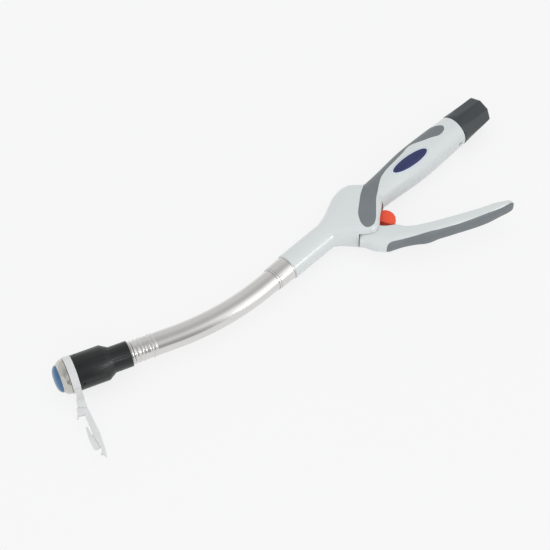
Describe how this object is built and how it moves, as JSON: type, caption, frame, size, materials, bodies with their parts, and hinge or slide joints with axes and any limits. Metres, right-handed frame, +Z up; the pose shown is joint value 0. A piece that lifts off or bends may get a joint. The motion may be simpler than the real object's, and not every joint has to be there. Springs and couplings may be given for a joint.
{
  "type": "circular surgical stapler",
  "caption": "Circular surgical stapler lying on its side, with a curved tube, fluted knob, firing lever, red latch and shipping spacer on its head.",
  "frame": {"origin": "middle of the flat rest under the bulb of the body, on the surface the stapler lies on", "axes": "+X along the handle to the knob, +Y to the back of the handle away from the lever, +Z up from the surface"},
  "size_m": [0.4621, 0.1531, 0.031],
  "materials": {
    "shell_plastic": "moulded, satin",
    "soft_grip": "soft moulded inlay",
    "label_blue": "printed film, left bare",
    "steel": "machined",
    "staple_metal": "drawn wire",
    "anvil_steel": "polished",
    "tube_metal": "brushed round the tube",
    "black_plastic": "moulded, matte",
    "knob_plastic": "moulded, matte",
    "inner_plastic": "moulded",
    "white_plastic": "moulded, milky",
    "red_plastic": "moulded, gloss",
    "cap_plastic": "moulded, gloss",
    "brass": "turned"
  },
  "bodies": {
    "handle": {"upper_shell": "shell_plastic", "lower_shell": "shell_plastic", "upper_inlay": "soft_grip", "lower_inlay": "soft_grip", "label_plate": "label_blue", "shell_screws": "steel", "tube_collar": "tube_metal", "outer_tube": "tube_metal", "head_housing": "black_plastic", "staple_cartridge": "white_plastic", "return_spring": "steel", "pivot_pin": "steel", "latch_pin": "steel", "guide_bush": "brass", "thrust_washers": "steel"},
    "knob_set": {"knob": "knob_plastic", "drive_nut": "brass"},
    "screw": {"lead_screw": "steel"},
    "band": {"pull_band": "steel"},
    "anvil": {"anvil_head": "anvil_steel", "anvil_cap": "cap_plastic", "cutting_washer": "white_plastic", "anvil_shaft": "anvil_steel", "pull_rod": "steel"},
    "lever_set": {"lever": "shell_plastic", "lever_grip": "soft_grip"},
    "firing_set": {"firing_rod": "steel", "firing_yoke": "inner_plastic"},
    "push_arc": {"push_tube": "inner_plastic"},
    "driver": {"push_sleeve": "inner_plastic", "staple_pusher": "inner_plastic", "circular_knife": "steel", "staples": "staple_metal"},
    "latch": {"safety_latch": "red_plastic"},
    "spacer": {"spacer_ring": "white_plastic"}
  },
  "joints": [
    {"name": "knob_turn", "type": "hinge", "parent": "handle", "child": "knob_set", "pos_m": [0.125, 0, 0.0155], "axis": [-1, 0, 0], "range_deg": [0, 720]},
    {"name": "screw_slide", "type": "slide", "parent": "handle", "child": "screw", "axis": [-1, 0, 0], "range_m": [0, 0.0182]},
    {"name": "band_turn", "type": "hinge", "parent": "handle", "child": "band", "pos_m": [-0.108, 0.23, 0.0155], "axis": [0, 0, -1], "range_deg": [0, 4.6]},
    {"name": "anvil_slide", "type": "slide", "parent": "handle", "child": "anvil", "axis": [-0.9304, 0.3665, 0], "range_m": [0, 0.0182]},
    {"name": "lever_swing", "type": "hinge", "parent": "handle", "child": "lever_set", "pos_m": [-0.01, -0.026, 0.0155], "axis": [0, 0, 1], "range_deg": [0, 28], "stiffness_Nm_per_rad": 0.8, "springref_deg": -8.59},
    {"name": "firing_slide", "type": "slide", "parent": "handle", "child": "firing_set", "axis": [-1, 0, 0], "range_m": [0, 0.0082], "deforming": ["return_spring"]},
    {"name": "push_turn", "type": "hinge", "parent": "handle", "child": "push_arc", "pos_m": [-0.108, 0.23, 0.0155], "axis": [0, 0, -1], "range_deg": [0, 2.1]},
    {"name": "driver_slide", "type": "slide", "parent": "handle", "child": "driver", "axis": [-0.9304, 0.3665, 0], "range_m": [0, 0.0082]},
    {"name": "latch_swing", "type": "hinge", "parent": "handle", "child": "latch", "pos_m": [0.0085, -0.017, 0.0155], "axis": [0, 0, 1], "range_deg": [0, 40]},
    {"name": "spacer_pull", "type": "slide", "parent": "handle", "child": "spacer", "axis": [-0.3665, -0.9304, 0], "range_m": [0, 0.04]}
  ],
  "couplings": [
    {"joint": "screw_slide", "follows": "knob_turn", "m_per_rad": 0.0014324},
    {"joint": "band_turn", "follows": "knob_turn", "ratio": 0.0062278},
    {"joint": "anvil_slide", "follows": "knob_turn", "m_per_rad": 0.0014324},
    {"joint": "firing_slide", "follows": "lever_swing", "m_per_rad": 0.0165},
    {"joint": "push_turn", "follows": "lever_swing", "ratio": 0.071739},
    {"joint": "driver_slide", "follows": "lever_swing", "m_per_rad": 0.0165}
  ]
}
